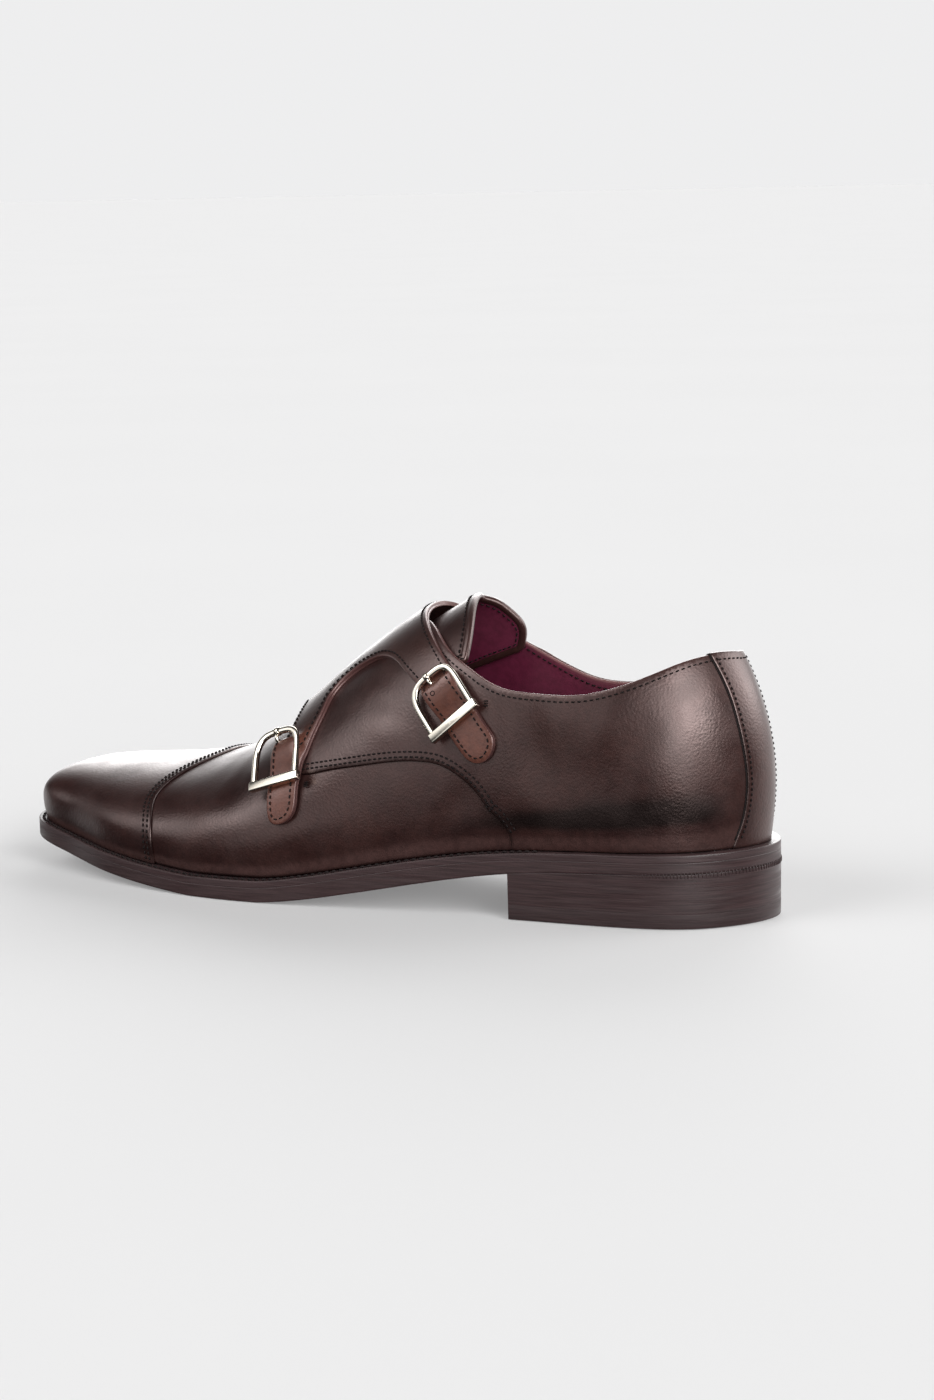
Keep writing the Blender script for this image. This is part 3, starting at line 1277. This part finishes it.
def spare_hole():
    """The small dark hole left open in the rear strap, inside the frame."""
    place, angle = BUCKLES["rear"], turns(20)[:, None]
    origin, axes = buckle_axes(place)
    c, w = nearest_on_upper(origin + SPARE_HOLE[0] * axes[0] + SPARE_HOLE[1] * axes[1], place)
    out = normal_at(c, w)
    centre = on_upper(c, w, flap_high(c, w) + 0.14)
    side = unit(np.cross(out, axes[1]))
    ring = np.cos(angle) * side + np.sin(angle) * np.cross(side, out)
    rim = ((0.62, -0.5), (0.62, 0.05), (0.8, 0.12), (0.95, 0.04), (1.0, -0.5))
    mesh = Mesh()
    mesh.hoop(np.array([centre + radius * ring + lift * out for radius, lift in rim]))
    mesh.tube(np.array([centre + 0.64 * ring + lift * out for lift in (-0.6, -0.12)]))
    mesh.build("spare_holes", (DARK_THREAD, "strap_leather"))


def nearest_on_upper(point, place):
    """Station and girth share of the strap's face nearest to a point by a buckle."""
    centre = place["far"]
    c, w = np.meshgrid(centre[0] + np.linspace(-14, 14, 113), centre[1] + np.linspace(-0.25, 0.1, 113))
    gap = np.linalg.norm(on_upper(c, w, flap_high(c, w)) - point, axis=-1)
    best = np.unravel_index(gap.argmin(), gap.shape)
    return c[best], w[best]


for sew in (
    upper_stitches, spare_hole, flap_stitches, strip_stitches, tongue_stitches, lining_stitches,
    welt_stitches, bar_tacks,
):
    sew()


# ---------- buckles ----------
def buckle(name, place):
    origin, axes = buckle_axes(place)
    half, far, start = BAR_LENGTH / 2 - WIRE, FRAME_LENGTH - WIRE, 8.0
    cos, sin = (wave(np.linspace(0, np.pi, 91)) for wave in (np.cos, np.sin))
    power = np.where(cos > 0, TOE_CORNER, HEEL_CORNER)
    arc = np.stack([
        -half * np.sign(cos) * np.abs(cos) ** (2 / power), start + (far - start) * np.abs(sin) ** (2 / power),
    ], -1)
    arm = np.linspace((half, 0), (half, start), 10)[:-1]
    flat = np.vstack([arm * (-1, 1), arc, arm[::-1]])
    run = run_along(flat)
    flat = sampled(np.linspace(0, run[-1], 110), run, flat)
    ahead = unit(np.gradient(flat, axis=0))
    path = origin + flat @ axes[:2]
    side = -ahead[:, 1:] * axes[0] + ahead[:, :1] * axes[1]
    mesh = Mesh()
    tube_along(mesh, path, side, np.broadcast_to(axes[2], path.shape), rounded_section(2.3, 2.0, 3.0, 20))
    mesh.build(f"buckle_frame_{name}", METAL_LOOK, [f"buckle_{name}"])
    scale = np.array([0.82, 0.95, 1, 1, 0.95, 0.82])[:, None, None]
    along = np.array([-1.0, -0.985, -0.96, 0.96, 0.985, 1.0])[:, None, None] * (BAR_LENGTH / 2 + 0.6)
    bar = Mesh()
    bar.tube(origin + along * axes[0] + scale * (rounded_section(3.5, 2.5, 7, 32) @ axes[1:]))
    bar.build(f"buckle_bar_{name}", METAL_LOOK, sharp=40)


def prong(name, place):
    """Pin hooked round the curved side, its point going down into the strap's hole."""
    origin, axes = buckle_axes(place)
    far, angle = FRAME_LENGTH - WIRE, turns(24)
    profile = [(-0.9, 1.25), (-0.9, 1.45), (-0.7, 1.6), (0.7, 1.6), (0.9, 1.45), (0.9, 1.25)]
    mesh = Mesh()
    mesh.hoop(np.array([
        origin + np.stack([x + 0 * angle, far + r * np.cos(angle), r * np.sin(angle)], -1) @ axes
        for x, r in profile
    ]))
    t = np.linspace(0, 1, 14)
    y = spline([0, 0.5, 1], [far - 1.2, far - 2.6, far - 3.8])(t)
    z = spline([0, 0.5, 1], [0.3, 0.35, -0.7])(t)
    path = origin + np.stack([y, z], -1) @ axes[1:]
    ahead = unit(np.gradient(path, axis=0))
    side = np.broadcast_to(axes[0], path.shape)
    tube_along(mesh, path, side, np.cross(side, ahead), rounded_section(1.5, 1.4, 2.2, 14))
    mesh.build(f"prong_{name}", METAL_LOOK, [f"prong_{name}"], sharp=50)


for buckle_name, buckle_place in BUCKLES.items():
    buckle(buckle_name, buckle_place)
    prong(buckle_name, buckle_place)


# ---------- floor, light and camera ----------
FLOOR_REACH, FLOOR_LEVEL = 40.0, -0.0002
FLOOR_COLOUR = (0.602, 0.600, 0.602)
FLOOR_GLOW = 0.20  # the lit sweep under the shoe is brighter than its own shading


def floor():
    data = bpy.data.meshes.new("floor")
    corners = [(-1, -1), (1, -1), (1, 1), (-1, 1)]
    points = [(x * FLOOR_REACH, y * FLOOR_REACH, FLOOR_LEVEL) for x, y in corners]
    data.from_pydata(points, [], [(0, 1, 2, 3)])
    made = bpy.data.objects.new("floor", data)
    bpy.context.scene.collection.objects.link(made)
    paint, tree, shader = new_material("pale_floor", 0.9)
    shader.inputs["Specular IOR Level"].default_value = 0.0
    shade = ranged(tree, noise(tree, 3, 2), 0.2, 0.8)
    darker = tuple(0.985 * value for value in FLOOR_COLOUR)
    link(tree, mixed(tree, shade, darker, FLOOR_COLOUR), shader.inputs["Base Color"])
    shader.inputs["Emission Color"].default_value = (1, 1, 1, 1)
    shader.inputs["Emission Strength"].default_value = FLOOR_GLOW
    data.materials.append(paint)
    made.visible_glossy = False
    made.visible_diffuse = False


BACKDROP = (0.855, 0.855, 0.86)  # what the camera sees past the floor's far edge
AMBIENT = 0.03
# Soft light round the shoe: direction, angle to its soft edge and to its core in degrees, strength.
SOFT_BOXES = [
    ((0.0, -1.0, -0.25), 76, 40, 1.15),
    ((0.31, -0.85, 0.42), 26, 6, 3.0),
    ((0.45, -0.88, 0.12), 18, 5, 5.0),
    ((-0.58, -0.69, 0.42), 24, 6, 3.0),
    ((-0.80, -0.45, 0.40), 22, 6, 3.0),
    ((-0.78, 0.45, 0.42), 20, 6, 9.0),
    ((-0.60, 0.77, 0.20), 20, 6, 5.0),
    ((-0.34, 0.93, 0.17), 20, 5, 1.2),
    ((0.34, 0.93, 0.17), 20, 5, 1.0),
    ((0.44, 0.60, 0.67), 24, 6, 3.2),
    ((0.98, -0.17, -0.06), 22, 6, 1.0),
    ((0.74, 0.50, 0.46), 22, 10, 1.2),
]


def studio_world():
    world = bpy.data.worlds.new("studio")
    bpy.context.scene.world = world
    world.use_nodes = True
    tree = world.node_tree
    background = tree.nodes["Background"]
    direction = node(tree, "ShaderNodeTexCoord").outputs["Generated"]
    total = AMBIENT
    for towards, soft, core, strength in SOFT_BOXES:
        dot = node(tree, "ShaderNodeVectorMath", operation="DOT_PRODUCT")
        link(tree, direction, dot.inputs[0])
        dot.inputs[1].default_value = Vector(towards).normalized()
        glow = ranged(tree, dot.outputs["Value"], math.cos(math.radians(soft)), math.cos(math.radians(core)))
        total = math_node(tree, "ADD", total, math_node(tree, "MULTIPLY", glow, strength))
    camera_ray = node(tree, "ShaderNodeLightPath").outputs["Is Camera Ray"]
    grey = node(tree, "ShaderNodeCombineColor")
    for socket in grey.inputs[:3]:
        link(tree, total, socket)
    link(tree, mixed(tree, camera_ray, grey.outputs[0], BACKDROP), background.inputs["Color"])


CAMERA_PLACE = (-454.7, 1013.9, 251.6)
CAMERA_YAW, CAMERA_PITCH, CAMERA_ROLL = 29.508, 8.963, 1.324
LENS = 85.61  # on a 36 mm high sensor


def camera():
    yaw, pitch, roll = (math.radians(a) for a in (CAMERA_YAW, CAMERA_PITCH, CAMERA_ROLL))
    ahead = Vector((math.sin(yaw) * math.cos(pitch), -math.cos(yaw) * math.cos(pitch), -math.sin(pitch)))
    level = ahead.cross(Vector((0, 0, 1))).normalized()
    upright = level.cross(ahead)
    right = level * math.cos(roll) - upright * math.sin(roll)
    up = level * math.sin(roll) + upright * math.cos(roll)
    data = bpy.data.cameras.new("camera")
    data.sensor_fit, data.sensor_height, data.lens = "VERTICAL", 36, LENS
    made = bpy.data.objects.new("camera", data)
    turn = Matrix((right, up, -ahead)).transposed().to_4x4()
    made.matrix_world = Matrix.Translation(Vector(to_row(CAMERA_PLACE))) @ turn
    bpy.context.scene.collection.objects.link(made)
    bpy.context.scene.camera = made


floor()
studio_world()
camera()
bpy.context.scene.view_settings.view_transform = "Standard"
